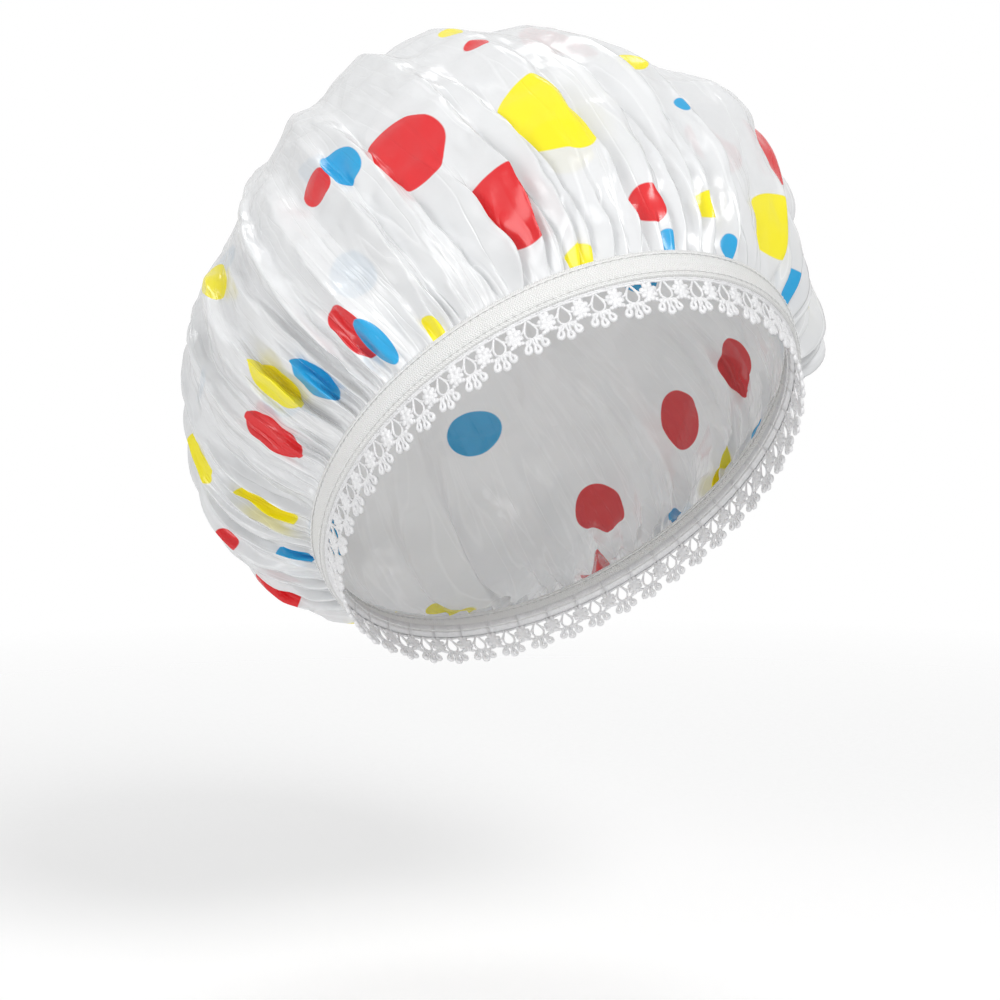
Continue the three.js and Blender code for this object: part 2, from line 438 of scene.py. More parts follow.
def bulges():
    total = np.zeros(len(flat))
    for share, way, reach_round, reach_up, height in BULGES:
        round_way = (np.mod(worn_share - share + 0.5, 1) - 0.5) / reach_round
        along_way = (way_up - way) / reach_up
        total += height * np.exp(-round_way ** 2 - along_way ** 2)
    return total


def worn_film():
    grown = np.clip((from_hem - IN_TAPE) / PLEAT_START, 0, 1)
    grown = (0.5 + 0.5 * grown) * (from_hem > IN_TAPE)
    offset = pleat_offset() * grown
    lump = (LUMP * wander(*LUMP_CELLS) * np.clip(way_up / LUMP_WAY, 0, 1) + bulges()) * grown
    outward = look_up(curve_normals, worn_share, way_up)
    around = look_up(round_step, worn_share, way_up)
    around /= np.maximum(np.linalg.norm(around, axis=1, keepdims=True), 1e-9)
    fade = np.clip(flat_radius / LEAN_FROM, 0, 1)
    lean = LEAN * (LEAN_SPREAD[0] + LEAN_SPREAD[1] * wander(*LEAN_CELLS)) * fade
    worn = look_up(curves, worn_share, way_up)
    worn = worn + outward * (offset + lump)[:, None] + around * (lean * offset)[:, None]
    inside = from_hem <= IN_TAPE
    ripple = HEM_RIPPLE * zigzag(*PLEATS[0][:3])
    strip = untilted_point(flat_share, FILM_MIDDLE + ripple, TAPE_TOP - HEM_DEPTH + from_hem)
    worn[inside] = strip[inside]
    return tilt_back(worn)


worn = worn_film()
print("laid film", np.round(worn.min(0) / mm), np.round(worn.max(0) / mm), "mm")

# %% [markdown]
# The laid film is too smooth yet. The cloth simulation lets it grow a little in its own surface, as film
# does that was folded small in a packet, so it buckles into creases between the pleats. The hem is pinned
# in the tape, and the rest is held only loosely to its curve. The mesh keeps a map of the flat disc for the
# print.

# %% Crumpling the film
CRUMPLE_FRAMES = 16
GROWTH = 0.022
LEAST_HOLD = 0.35
NECK_HOLD = 0.5
CLOTH = {
    "quality": 6, "mass": 0.1, "tension_stiffness": 25, "compression_stiffness": 25, "shear_stiffness": 15,
    "bending_stiffness": 0.05, "shrink_min": -GROWTH, "vertex_group_mass": "held",
}


def hold_weights():
    climb = np.clip((from_hem - IN_TAPE) / PLEAT_START, 0, 1)
    return np.where(from_hem <= IN_TAPE, 1.0, LEAST_HOLD + NECK_HOLD * (1 - climb) ** 2)


def crumpled_film():
    mesh = mesh_from("film", disc)
    cut_map = mesh.uv_layers.new(name="flat film")
    loop_verts = np.empty(len(mesh.loops), int)
    mesh.loops.foreach_get("vertex_index", loop_verts)
    cut_map.data.foreach_set("uv", (flat[loop_verts] / (2 * DISC_RADIUS) + 0.5).ravel())
    mesh.vertices.foreach_set("co", worn.ravel())
    mesh.update()
    film = add_object("film", mesh)
    held = film.vertex_groups.new(name="held")
    for number, weight in enumerate(hold_weights()):
        held.add([number], weight, "REPLACE")
    cloth = film.modifiers.new("crumple", "CLOTH")
    for name, value in CLOTH.items():
        setattr(cloth.settings, name, value)
    cloth.settings.effector_weights.gravity = 0
    cloth.collision_settings.use_collision = False
    cloth.point_cache.frame_start = 1
    cloth.point_cache.frame_end = CRUMPLE_FRAMES
    for number in range(1, CRUMPLE_FRAMES + 1):
        scene.frame_set(number)
    crumpled = applied(film)
    scene.frame_set(1)
    crumpled.name = "crown_film_sheet"
    return crumpled


film_mesh = crumpled_film()
film_points = np.empty(len(film_mesh.vertices) * 3)
film_mesh.vertices.foreach_get("co", film_points)
film_points = film_points.reshape(-1, 3)
moved = np.linalg.norm(film_points - worn, axis=1)
print("film moved", round(moved.mean() / mm, 2), "mm on average,", round(moved.max() / mm, 1), "at most")
print("film area", round(sum(face.area for face in film_mesh.polygons), 4), "square metres")

# %% [markdown]
# The dots are printed on the flat film before it is gathered, so each is a true circle there and takes its
# bent and broken outline from the folds. A dot seen in the photograph is placed by its pixel: a ray through
# that pixel meets the film, and the place that it meets is read back on the flat disc. Each entry also says
# what share of a full dot is seen there, because deep folds hide part of some.

# %% Where the dots lie
DOT_RADIUS = {"red": 13 * mm, "yellow": 13 * mm, "blue": 9 * mm}
NEAREST = 0.01 * mm
DOT_PIXELS = {
    "red": (
        (402, 155, 1.15), (513, 206, 0.95), (478, 44, 0.3), (652, 203, 0.5), (767, 148, 1.0),
        (318, 187, 0.45), (352, 333, 0.8), (272, 435, 1.0), (275, 590, 0.95), (225, 540, 0.4),
    ),
    "yellow": (
        (561, 106, 1.25), (632, 62, 0.35), (709, 202, 0.35), (780, 226, 0.85), (583, 267, 0.65),
        (437, 333, 0.5), (213, 280, 0.9), (275, 380, 0.95), (200, 457, 0.9), (265, 507, 0.95), (453, 34, 0.3),
    ),
    "blue": (
        (340, 172, 1.0), (376, 343, 1.0), (315, 378, 1.15), (681, 104, 0.3), (728, 248, 0.5),
        (668, 244, 0.45), (791, 291, 0.9), (297, 553, 0.8),
    ),
}
film_tree = BVHTree.FromPolygons(
    [Vector(point) for point in film_points], [tuple(face.vertices) for face in film_mesh.polygons]
)


def ray_through(pixel):
    reach = PIXELS_PER_METRE * CAMERA_DISTANCE
    across = (pixel[0] - PHOTO_MIDDLE.x) / reach
    up = (PHOTO_MIDDLE.y - pixel[1]) / reach
    return (camera_right * across + camera_up * up - camera_back).normalized()


def flat_place(pixel):
    """The place on the flat disc of the film that is seen first at a pixel, or none where the ray misses."""
    point, _, face, _ = film_tree.ray_cast(camera.location, ray_through(pixel))
    if face is None:
        return None
    corners = list(film_mesh.polygons[face].vertices)
    nearest = [1 / max((Vector(film_points[corner]) - point).length, NEAREST) for corner in corners]
    return np.average(flat[corners], axis=0, weights=nearest)


dot_places = {colour: [] for colour in DOT_PIXELS}
for colour, pixels in DOT_PIXELS.items():
    for across, down, size in pixels:
        place = flat_place((across, down))
        if place is None:
            print(colour, "dot at", (across, down), "misses the film")
        else:
            dot_places[colour].append((*place, size * DOT_RADIUS[colour]))

# %% [markdown]
# The rest of the film carries the same print where the photograph doesn't show it. Places are tried in
# turn, and one is kept where the camera doesn't see the film's outer side, there or just beside it, and no
# other dot is near. This gives the same loose spread.

# %% Dots on the far side
DOT_SPACING = 50 * mm
HEM_MARGIN = 16 * mm
TRIES = 900
DOT_SEED = 12
FOLD_DEPTH = 6 * mm
BESIDE = [np.array(side) * DOT_RADIUS["red"] for side in ((0, 0), (1, 0), (-1, 0), (0, 1), (0, -1))]


def seen_in_photo(place):
    """Whether the camera sees the outer side of the film at a place on the flat disc, or just beside it."""
    for side in BESIDE:
        number = np.argmin(np.hypot(*(flat - place - side).T))
        point = Vector(film_points[number])
        toward = point - camera.location
        _, _, _, distance = film_tree.ray_cast(camera.location, toward.normalized())
        outer_side = toward.dot(point - film_middle) < 0
        if outer_side and (distance is None or distance > toward.length - FOLD_DEPTH):
            return True
    return False


film_middle = Vector(film_points.mean(0))
random = np.random.default_rng(DOT_SEED)
colours = list(DOT_PIXELS)
for _ in range(TRIES):
    place = random.uniform(-DISC_RADIUS, DISC_RADIUS, 2)
    if np.hypot(*place) > DISC_RADIUS - HEM_MARGIN:
        continue
    taken = np.array([spot[:2] for spots in dot_places.values() for spot in spots])
    if np.hypot(*(taken - place).T).min() > DOT_SPACING and not seen_in_photo(place):
        colour = colours[int(random.integers(len(colours)))]
        dot_places[colour].append((*place, DOT_RADIUS[colour]))
print("dots", {colour: len(spots) for colour, spots in dot_places.items()})

# %% [markdown]
# Every face of the film keeps the dot of each colour that is nearest to it: the dot's middle on the map of
# the flat film, and its radius there. The material draws a true circle from those, on any mesh.

# %% Nearest dots
face_middles = np.array([flat[list(face.vertices)].mean(0) for face in film_mesh.polygons])
for colour, spots in dot_places.items():
    spots = np.array(spots)
    distance = np.linalg.norm(face_middles[:, None] - spots[None, :, :2], axis=2) - spots[:, 2]
    nearest = spots[distance.argmin(1)]
    nearest[:, :2] = nearest[:, :2] / (2 * DISC_RADIUS) + 0.5
    nearest[:, 2] /= 2 * DISC_RADIUS
    dot = film_mesh.attributes.new(colour + "_dot", "FLOAT_VECTOR", "FACE")
    dot.data.foreach_set("vector", nearest.ravel())

# %% [markdown]
# Materials are small graphs of nodes. A few helpers keep them short: they add a node and fill its inputs, do
# sums, blend two colours, spread a value over a new range, or give a material its bump.

# %% Helpers for materials
NOISE_RANGE = (0.3, 0.7)
BUMPS = {
    # strength and depth
    "film": (0.45, 1.2 * mm), "tape": (0.7, 0.15 * mm), "thread": (0.5, 0.05 * mm),
    "lace": (0.6, 0.12 * mm), "elastic": (0.5, 0.15 * mm),
}


def fill(tree, node, **inputs):
    """Fills inputs that are named, or numbered after a low line: a socket is linked, and a value is set."""
    for name, value in inputs.items():
        socket = node.inputs[int(name[1:])] if name[0] == "_" else node.inputs[name.replace("_", " ")]
        if isinstance(value, bpy.types.NodeSocket):
            tree.links.new(value, socket)
        else:
            socket.default_value = value
    return node


def add_node(tree, kind, settings=None, **inputs):
    node = tree.nodes.new(kind)
    for name, value in (settings or {}).items():
        setattr(node, name, value)
    return fill(tree, node, **inputs)


def numbered(values):
    return {"_" + str(number): value for number, value in enumerate(values)}


def calculate(tree, operation, *values):
    return add_node(tree, "ShaderNodeMath", {"operation": operation}, **numbered(values)).outputs[0]


def times(tree, first, second):
    return calculate(tree, "MULTIPLY", first, second)


def calculate_place(tree, operation, *values):
    node = add_node(tree, "ShaderNodeVectorMath", {"operation": operation}, **numbered(values))
    return node.outputs["Value" if operation in ("LENGTH", "DISTANCE") else "Vector"]


def blend_colour(tree, share, first, second):
    node = add_node(tree, "ShaderNodeMix", {"data_type": "RGBA"}, _0=share, _6=first, _7=second)
    return node.outputs[2]


def spread(tree, value, low, high, new_low=0.0, new_high=1.0):
    node = add_node(tree, "ShaderNodeMapRange", None, _0=value, _1=low, _2=high, _3=new_low, _4=new_high)
    return node.outputs[0]


def noise(tree, place, scale, detail=2.0, output=0):
    node = add_node(tree, "ShaderNodeTexNoise", None, Vector=place, Scale=scale, Detail=detail)
    return node.outputs[output]


def add_bump(tree, shader, height, piece):
    strength, depth = BUMPS[piece]
    bump = add_node(tree, "ShaderNodeBump", None, Strength=strength, Distance=depth, Height=height)
    fill(tree, shader, Normal=bump.outputs[0])


def dress(tree, shader, tone, colours, rough_by, rough):
    """Blends the base colour between two by a tone, and spreads the roughness by another value."""
    colour = blend_colour(tree, tone, *colours)
    fill(tree, shader, Base_Color=colour, Roughness=spread(tree, rough_by, *NOISE_RANGE, *rough))


def new_material(name):
    material = bpy.data.materials.new(name)
    material.use_nodes = True
    tree = material.node_tree
    tree.nodes.clear()
    output = tree.nodes.new("ShaderNodeOutputMaterial")
    shader = tree.nodes.new("ShaderNodeBsdfPrincipled")
    tree.links.new(shader.outputs[0], output.inputs[0])
    return material, tree, shader


# %% [markdown]
# Thread fibre is on every sewn and woven piece, so it is a node group: a fine noise gives the height of the
# fibres, and a wider one a small change of shade.

# %% Thread fibre group
FIBRE_SCALES = {"tape": 2600.0, "thread": 5200.0, "lace": 3400.0, "elastic": 2200.0}
WIDE_SHARE = 0.12


def fibre_group():
    group = bpy.data.node_groups.new("thread fibre", "ShaderNodeTree")
    for name, kind in (("Place", "NodeSocketVector"), ("Fibre Scale", "NodeSocketFloat")):
        group.interface.new_socket(name, in_out="INPUT", socket_type=kind)
    for name in ("Height", "Shade"):
        group.interface.new_socket(name, in_out="OUTPUT", socket_type="NodeSocketFloat")
    inside = group.nodes.new("NodeGroupInput")
    outside = group.nodes.new("NodeGroupOutput")
    place, scale = inside.outputs["Place"], inside.outputs["Fibre Scale"]
    fine = noise(group, place, scale, 4.0)
    fine.node.inputs["Roughness"].default_value = 0.6
    wide = noise(group, place, times(group, scale, WIDE_SHARE))
    fill(group, outside, Height=fine, Shade=wide)
    return group


thread_fibre = fibre_group()


def add_fibre(tree, piece):
    place = tree.nodes.new("ShaderNodeTexCoord").outputs["Object"]
    scale = FIBRE_SCALES[piece]
    node = add_node(tree, "ShaderNodeGroup", {"node_tree": thread_fibre}, Place=place, Fibre_Scale=scale)
    return node.outputs["Height"], node.outputs["Shade"]


# %% [markdown]
# The film is thin milky plastic. It lets part of the light through and shines softly. Near the band it
# keeps fine pressed lines that all point to the middle of the disc, soft ones and sharp ones. The sharp
# ridges are painted a lighter white, a painted highlight, and are drawn more opaque. A few faint creases
# elsewhere are the edges of a cell pattern. Both are drawn on the flat film. Ink hides more of what lies
# behind, so the dots are nearly opaque.

# %% Film material
FILM_WHITE = (0.83, 0.84, 0.85, 1)
# painted highlight: the lighter white that the sharp pressed ridges are painted
RIDGE_PAINTED_HIGHLIGHT = (0.93, 0.94, 0.95, 1)
INK = {"red": (0.74, 0.008, 0.013, 1), "yellow": (0.93, 0.82, 0.008, 1), "blue": (0.004, 0.36, 0.70, 1)}
INK_EDGE = 0.2 * mm / (2 * DISC_RADIUS)
LINES_ROUND = 30.0
LINES_ALONG = 9.0
LINES_FADE = (0.2, 0.45, 0.15, 1.0)
RIDGE_WIDTH = 0.04
RIDGE_HEIGHT = 0.25
WARP = 0.06
WARP_SCALE = 9.0
CREASE_SCALE = 17.0
CREASE_WIDTH = 0.12
CREASE_HEIGHT = 2.5
CLOUD_SCALE = 14.0
FILM_ALPHA = (0.78, 0.86)
RIDGE_ALPHA = 0.95
INK_ALPHA = 0.97
FILM_ROUGH = (0.16, 0.25)


def pressed_lines(tree, cut):
    """Fine lines towards the middle of the flat film, soft and sharp ones, which fade away from the hem."""
    from_middle = calculate_place(tree, "SUBTRACT", cut, (0.5, 0.5, 0.0))
    radius = calculate_place(tree, "LENGTH", from_middle)
    way = calculate_place(tree, "NORMALIZE", from_middle)
    way = calculate_place(tree, "MULTIPLY", way, (LINES_ROUND,) * 3)
    climb = add_node(tree, "ShaderNodeCombineXYZ", None, Z=times(tree, radius, LINES_ALONG))
    place = calculate_place(tree, "ADD", way, climb.outputs[0])
    lines = noise(tree, place, 1.0, 1.0)
    fade = spread(tree, radius, *LINES_FADE)
    off_ridge = calculate(tree, "ABSOLUTE", calculate(tree, "SUBTRACT", lines, 0.5))
    ridges = times(tree, spread(tree, off_ridge, 0.0, RIDGE_WIDTH, 1.0, 0.0), fade)
    return times(tree, lines, fade), ridges


def faint_creases(tree, cut):
    warp = noise(tree, cut, WARP_SCALE, output="Color")
    bent = add_node(tree, "ShaderNodeMix", {"data_type": "VECTOR"}, _0=WARP, _4=cut, _5=warp).outputs[1]
    cells = add_node(
        tree, "ShaderNodeTexVoronoi", {"feature": "DISTANCE_TO_EDGE"}, Vector=bent, Scale=CREASE_SCALE,
    )
    crease = calculate(tree, "MINIMUM", cells.outputs["Distance"], CREASE_WIDTH)
    return times(tree, crease, CREASE_HEIGHT)


def dot_mask(tree, cut, name):
    """1 inside the nearest dot of a colour, and 0 outside it."""
    dot = add_node(tree, "ShaderNodeAttribute", {"attribute_name": name + "_dot"}).outputs["Vector"]
    dot = add_node(tree, "ShaderNodeSeparateXYZ", None, Vector=dot)
    middle = add_node(tree, "ShaderNodeCombineXYZ", None, X=dot.outputs[0], Y=dot.outputs[1]).outputs[0]
    away = calculate_place(tree, "DISTANCE", cut, middle)
    return spread(tree, calculate(tree, "SUBTRACT", away, dot.outputs[2]), -INK_EDGE, INK_EDGE, 1.0, 0.0)


def film_material():
    material, tree, shader = new_material("milky film")
    cut = add_node(tree, "ShaderNodeUVMap", {"uv_map": "flat film"}).outputs[0]
    lines, ridges = pressed_lines(tree, cut)
    height = calculate(tree, "ADD", faint_creases(tree, cut), lines)
    height = calculate(tree, "MULTIPLY_ADD", ridges, RIDGE_HEIGHT, height)
    add_bump(tree, shader, height, "film")
    cloud = noise(tree, cut, CLOUD_SCALE, 1.0)
    # painted highlight: the colour is lighter along the sharp pressed ridges
    colour = blend_colour(tree, ridges, FILM_WHITE, RIDGE_PAINTED_HIGHLIGHT)
    inked = times(tree, ridges, RIDGE_ALPHA)
    for name, ink in INK.items():
        mask = dot_mask(tree, cut, name)
        colour = blend_colour(tree, mask, colour, ink)
        inked = calculate(tree, "MAXIMUM", inked, mask)
    clear = spread(tree, cloud, *NOISE_RANGE, *FILM_ALPHA)
    alpha = calculate(tree, "MAXIMUM", clear, times(tree, inked, INK_ALPHA))
    rough = spread(tree, cloud, *NOISE_RANGE, *FILM_ROUGH)
    fill(tree, shader, Base_Color=colour, Alpha=alpha, Roughness=rough, IOR=1.5)
    return material


film_look = film_material()
crown = make_piece("crown_film_sheet", film_mesh, film_look, ("crown_film",))
finer = crown.modifiers.new("finer", "SUBSURF")
finer.levels = finer.render_levels = 1

# %% [markdown]
# The tape is a white woven ribbon, folded under the band's lower edge so that both its leaves cover the
# elastic and the film's hem. It is swept round the band with a soft bend at its fold. The elastic puffs its
# outer leaf a little. Below the elastic the lower seam presses its inner leaf outward, so that the lace
# hangs close under the tape's edge. The needle leaves a small hole at every stitch. The tape's colour is
# painted darker in the dips of the weave and in the needle holes: painted shade.

# %% Folded casing tape
BEND_STEPS = 5
BEND_SHARE = 0.35
INNER_BEND_SHARES = (0.2, 0.1)
TAPE_COUNT = 480
STITCH_LENGTH = 2.5 * mm
STITCH_COUNT = round(ring_length / STITCH_LENGTH)
SEAM_UP = TAPE_TOP - SEAM_INSET
TAPE_EDGE = 0.12 * mm
TAPE_PUFF = 0.2 * mm
ELASTIC_REACH = 2.85 * mm
PRESS = 2 * mm
PUFF_SHARES = ((-0.5, 0.3), (-0.25, 0.85), (0.0, 1.0), (0.25, 0.85), (0.5, 0.3))


def pressed_out(up):
    """How far the lower seam presses the band's inner layers outward, below the elastic."""
    return PRESS * np.clip((-ELASTIC_REACH - up) / (TAPE_TOP - ELASTIC_REACH), 0, 1)


def tape_section():
    middle = (INNER_LEAF_IN + PRESS + BAND_OUT) / 2
    half = (BAND_OUT - INNER_LEAF_IN - PRESS) / 2
    inner_half = half - TAPE_THICKNESS
    angles = np.linspace(np.pi, 2 * np.pi, BEND_STEPS)
    bend = BEND_SHARE * half
    outside = [(middle + half * math.cos(a), -TAPE_TOP + bend + bend * math.sin(a)) for a in angles]
    rise, inner_bend = (share * half for share in INNER_BEND_SHARES)
    low = -TAPE_TOP + TAPE_THICKNESS + rise
    inside = [(middle + inner_half * math.cos(a), low + inner_bend * math.sin(a)) for a in angles]
    front, back, high = INNER_LEAF_IN, INNER_LEAF_IN + TAPE_THICKNESS, TAPE_TOP - TAPE_EDGE
    return (
        [(front, high), (front, 0), (front, -ELASTIC_REACH)] + outside
        + [(BAND_OUT + TAPE_PUFF * puff, up * TAPE_TOP) for up, puff in PUFF_SHARES]
        + [(BAND_OUT, high), (BAND_OUT - TAPE_EDGE, TAPE_TOP)]
        + [(OUTER_LEAF_IN + TAPE_EDGE, TAPE_TOP), (OUTER_LEAF_IN, high), (OUTER_LEAF_IN, 0)]
        + inside[::-1] + [(back, -ELASTIC_REACH), (back, 0), (back, high)]
        + [(back - TAPE_EDGE, TAPE_TOP), (front + TAPE_EDGE, TAPE_TOP)]
    )


def band_map(mesh):
    """UV in metres: the way round the band, and the height across it."""
    flat_map = mesh.uv_layers.new(name="band")
    points = np.array([vert.co for vert in mesh.vertices])
    cosine, sine = math.cos(WORN_TILT), math.sin(WORN_TILT)
    level_y = points[:, 1] * cosine - points[:, 2] * sine
    height = points[:, 1] * sine + points[:, 2] * cosine
    angle = np.unwrap(np.arctan2(level_y / OPENING_LENGTH, points[:, 0] / OPENING_WIDTH))
    way = np.interp(np.mod(angle + np.pi / 2, 2 * np.pi), turn + np.pi / 2, ring_share)
    for face in mesh.polygons:
        ways = way[list(face.vertices)]
        wrapped = ways.max() - ways.min() > 0.5
        for loop, vertex, share in zip(face.loop_indices, face.vertices, ways):
            share += 1 if wrapped and share < 0.5 else 0
            flat_map.data[loop].uv = (share * ring_length, height[vertex])


# %% Tape material
RIB_PITCH = 0.85 * mm
RIB_SLANT = 0.9
SLANT_HEIGHT = 1.1 * mm
ROW_PITCH = 0.62 * mm
ROW_SHARE = 0.6
FIBRE_SHARE = 0.8
HOLE_SHARE = 2.5
HOLE_HEIGHT = 0.8
HOLE = (0.2 * mm, 0.55 * mm)
# painted shade: how the colour darkens in the dips of the weave
WEAVE_DIP_PAINTED_SHADE = (-1.6, 1.2)
SHADE_TONES = (0.85, 1.0)
# painted shade: how the colour darkens in the needle holes
HOLE_PAINTED_SHADE = (-1.2, 1.0)
TAPE_COLOURS = (0.80, 0.80, 0.79, 1), (0.97, 0.97, 0.96, 1)


def wave(tree, value, pitch):
    return calculate(tree, "SINE", times(tree, value, 2 * math.pi / pitch))


def outside_holes(tree, along, across):
    """0 in the needle holes of both seams and 1 outside them."""
    hole_way = calculate(tree, "PINGPONG", along, ring_length / STITCH_COUNT / 2)
    hole_up = calculate(tree, "SUBTRACT", calculate(tree, "ABSOLUTE", across), SEAM_UP)
    hole_up = times(tree, calculate(tree, "ABSOLUTE", hole_up), HOLE_HEIGHT)
    return spread(tree, calculate(tree, "MAXIMUM", hole_way, hole_up), *HOLE)


def tape_material():
    material, tree, shader = new_material("woven tape")
    place = add_node(tree, "ShaderNodeUVMap", {"uv_map": "band"}).outputs[0]
    parts = add_node(tree, "ShaderNodeSeparateXYZ", None, Vector=place)
    along, across = parts.outputs[0], parts.outputs[1]
    slant = times(tree, calculate(tree, "PINGPONG", across, SLANT_HEIGHT), RIB_SLANT)
    rib = wave(tree, calculate(tree, "ADD", along, slant), RIB_PITCH)
    woven = calculate(tree, "MULTIPLY_ADD", wave(tree, across, ROW_PITCH), ROW_SHARE, rib)
    fibre, shade = add_fibre(tree, "tape")
    open_cloth = outside_holes(tree, along, across)
    height = calculate(tree, "MULTIPLY_ADD", fibre, FIBRE_SHARE, woven)
    height = calculate(tree, "MULTIPLY_ADD", open_cloth, HOLE_SHARE, height)
    add_bump(tree, shader, height, "tape")
    soft = spread(tree, shade, *NOISE_RANGE, *SHADE_TONES)
    # painted shade: the colour is darker in the dips of the weave
    tone = times(tree, spread(tree, woven, *WEAVE_DIP_PAINTED_SHADE), soft)
    # painted shade: the colour is darker in the needle holes
    tone = times(tree, tone, spread(tree, open_cloth, 0.0, 1.0, *HOLE_PAINTED_SHADE))
    dress(tree, shader, tone, TAPE_COLOURS, fibre, (0.5, 0.7))
    return material


tape_mesh = mesh_from("casing_tape_folded", sweep_band(tape_section(), TAPE_COUNT))
band_map(tape_mesh)
make_piece("casing_tape_folded", tape_mesh, tape_material(), ("casing_tape",))

# %% [markdown]
# Two rows of stitches hold the band together. On each face of the band the thread lies on the tape and dips
# into it at every stitch, so each row has a needle thread outside and a bobbin thread inside. A thread is a
# thin tube swept round the band, and its height is set by the stitches.

# %% Seam threads
POINTS_PER_STITCH = 6
THREAD_SIDES = 6
THREAD_ROUND = THREAD_THICKNESS / 2
THREAD_OFFSET = LAYER_GAP + THREAD_ROUND
STITCH_POWER = 0.6
THREAD_COLOURS = (0.80, 0.80, 0.79, 1), (0.92, 0.92, 0.92, 1)


def thread_material():
    material, tree, shader = new_material("sewing thread")
    fibre, shade = add_fibre(tree, "thread")
    add_bump(tree, shader, fibre, "thread")
    dress(tree, shader, spread(tree, shade, *NOISE_RANGE), THREAD_COLOURS, fibre, (0.35, 0.5))
    return material


def seam_thread(name, out, up, inward):
    count = STITCH_COUNT * POINTS_PER_STITCH
    share = np.arange(count) / count
    lift = np.abs(np.sin(np.pi * STITCH_COUNT * share)) ** STITCH_POWER
    middle = out - inward * LAYER_GAP * (1 - lift)
    section = []
    for side in range(THREAD_SIDES):
        angle = 2 * np.pi * side / THREAD_SIDES
        section.append((middle + THREAD_ROUND * math.cos(angle), up + THREAD_ROUND * math.sin(angle)))
    bm = sweep_band(section, count)
    make_piece(name + "_stitched", mesh_from(name + "_stitched", bm), thread_look, (name,))


thread_look = thread_material()
seam_thread("upper_needle_thread", BAND_OUT + THREAD_OFFSET, SEAM_UP, 1)
seam_thread("lower_needle_thread", BAND_OUT + THREAD_OFFSET, -SEAM_UP, 1)
seam_thread("upper_bobbin_thread", INNER_LEAF_IN - THREAD_OFFSET, SEAM_UP, -1)
seam_thread("lower_bobbin_thread", pressed_out(-SEAM_UP) - THREAD_OFFSET, -SEAM_UP, -1)

# %% [markdown]
# The lace is machine made: one motif comes round fifty times. It is drawn flat first. A header strip lies
# behind the tape, with two rows of knots under the tape's edge. From them hang a thin forked thread and a
# flower of thick petals, and below those a fan of three drops, each a fat loop with a small eye. Cords are
# curves with a round bevel, and knots and petals are small spheres pressed flat. The motif is then bent
# round the band.

# %% Cords, knots and petals
PITCH = ring_length / MOTIF_COUNT
LACE_TOP = -TAPE_TOP
LACE_MIDDLE = LACE_THICKNESS / 2


def motif_place(across, down, out=0.0):
    return Vector((across * PITCH, LACE_TOP - down * LACE_DROP, LACE_MIDDLE + out))


def add_cord(bm, points, thickness, closed=False, sides=1):
    """Adds a round cord through points, each of which may carry its own share of the thickness."""
    curve = bpy.data.curves.new("cord", "CURVE")
    curve.dimensions = "3D"
    curve.bevel_depth = thickness / 2
    curve.bevel_resolution = sides
    curve.use_fill_caps = not closed
    spline = curve.splines.new("POLY")
    spline.points.add(len(points) - 1)
    spline.use_cyclic_u = closed
    for target, point in zip(spline.points, points):
        target.co = (*point[:3], 1)
        target.radius = point[3] if len(point) > 3 else 1
    mesh = applied(add_object("cord", curve))
    bm.from_mesh(mesh)
    bpy.data.meshes.remove(mesh)


def add_petal(bm, centre, width, height, depth, turned=0.0, around=8, rows=5):
    made = bmesh.ops.create_uvsphere(bm, u_segments=around, v_segments=rows, radius=0.5)["verts"]
    cosine, sine = math.cos(turned), math.sin(turned)
    for vert in made:
        x, y, z = vert.co.x * width, vert.co.y * height, vert.co.z * depth
        vert.co = centre + Vector((x * cosine - y * sine, x * sine + y * cosine, z))


# %% Lace header and forked thread
HEADER_ROWS = ((0.0, 0.55 * mm, 0.9 * mm, 1.3 * mm), (0.05, 0.3 * mm, 0.75 * mm, 1.1 * mm))
HEADER_STEPS = 8
HEADER_KNOTS = 6
HEADER_SWAY = 0.012
KNOT_SHARES = (1, 0.9, 0.75)
STRIP_THICKNESS = 0.3 * mm
STRIP_HANG = 0.2 * mm
FORK_CORDS = (
    (0.75 * mm, ((0.01, 0.04), (0.07, 0.13), (0.13, 0.22), (0.20, 0.29), (0.30, 0.33))),
    (0.80 * mm, ((0.10, 0.18), (0.165, 0.30), (0.185, 0.40), (0.15, 0.50), (0.06, 0.56), (-0.02, 0.57))),
)


def add_header(bm):
    strip = bmesh.ops.create_grid(bm, x_segments=6, y_segments=1, size=0.5)["verts"]
    for vert in strip:
        rise = (vert.co.y + 0.5) * LACE_TUCK - STRIP_HANG
        vert.co = motif_place(vert.co.x, 0) + Vector((0, rise, -STRIP_THICKNESS / 2))
    bmesh.ops.solidify(bm, geom=bm.faces[:], thickness=STRIP_THICKNESS)
    for row, (down, out, cord, knot) in enumerate(HEADER_ROWS):
        line = []
        for step in range(HEADER_STEPS + 1):
            across = step / HEADER_STEPS - 0.5
            sway = HEADER_SWAY * math.sin(2 * math.pi * (2 * across + 0.5 * row))
            line.append(motif_place(across, down + sway, out))
        add_cord(bm, line, cord)
        for number in range(HEADER_KNOTS):
            across = (number + 0.25 + 0.5 * row) / HEADER_KNOTS - 0.5
            size = [share * knot for share in KNOT_SHARES]
            add_petal(bm, motif_place(across, down, out), *size, around=6, rows=4)


def add_fork(bm):
    for side in (-1, 1):
        for thickness, places in FORK_CORDS:
            add_cord(bm, [motif_place(side * across, down) for across, down in places], thickness)


